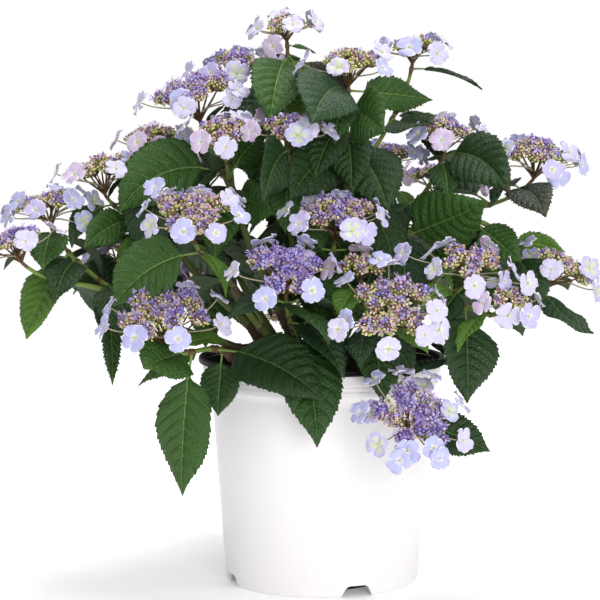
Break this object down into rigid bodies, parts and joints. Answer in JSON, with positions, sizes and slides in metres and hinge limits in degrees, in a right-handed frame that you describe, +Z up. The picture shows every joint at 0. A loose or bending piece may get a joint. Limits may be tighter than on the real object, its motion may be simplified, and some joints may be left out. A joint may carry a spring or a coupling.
{
  "type": "potted hydrangea shrub",
  "caption": "Compact lacecap hydrangea in flower in a white nursery pot: leafy canes with flat lavender flower heads over a round bushy crown.",
  "frame": {"origin": "Middle of the pot's flat underside, on the ground.", "axes": "+Z up, +X to the right as seen from the front, +Y to the back."},
  "size_m": [0.577, 0.4817, 0.5273],
  "materials": {
    "white_pot": "smooth moulded plastic with a soft gloss",
    "potting_mix": "dark crumbly bark mix",
    "cane_bark": "smooth green to brown young bark",
    "foliage": "quilted green leaves with lavender blossom"
  },
  "bodies": {
    "root": {"pot": "white_pot", "potting_mix": "potting_mix", "cane_left_low": "cane_bark", "cane_left_front": "cane_bark", "cane_left_mid": "cane_bark", "cane_upper_left": "cane_bark", "cane_centre_left": "cane_bark", "cane_centre_front": "cane_bark", "cane_top": "cane_bark", "cane_centre": "cane_bark", "cane_top_right": "cane_bark", "cane_right_up": "cane_bark", "cane_right_droop": "cane_bark", "cane_right_front": "cane_bark", "cane_front_right": "cane_bark", "cane_front_low": "cane_bark", "cane_back_left": "cane_bark", "cane_back": "cane_bark", "cane_back_right": "cane_bark", "foliage_left_low": "foliage", "foliage_left_front": "foliage", "foliage_left_mid": "foliage", "foliage_upper_left": "foliage", "foliage_centre_left": "foliage", "foliage_centre_front": "foliage", "foliage_top": "foliage", "foliage_centre": "foliage", "foliage_top_right": "foliage", "foliage_right_up": "foliage", "foliage_right_droop": "foliage", "foliage_right_front": "foliage", "foliage_front_right": "foliage", "foliage_front_low": "foliage", "foliage_back_left": "foliage", "foliage_back": "foliage", "foliage_back_right": "foliage"}
  },
  "joints": []
}
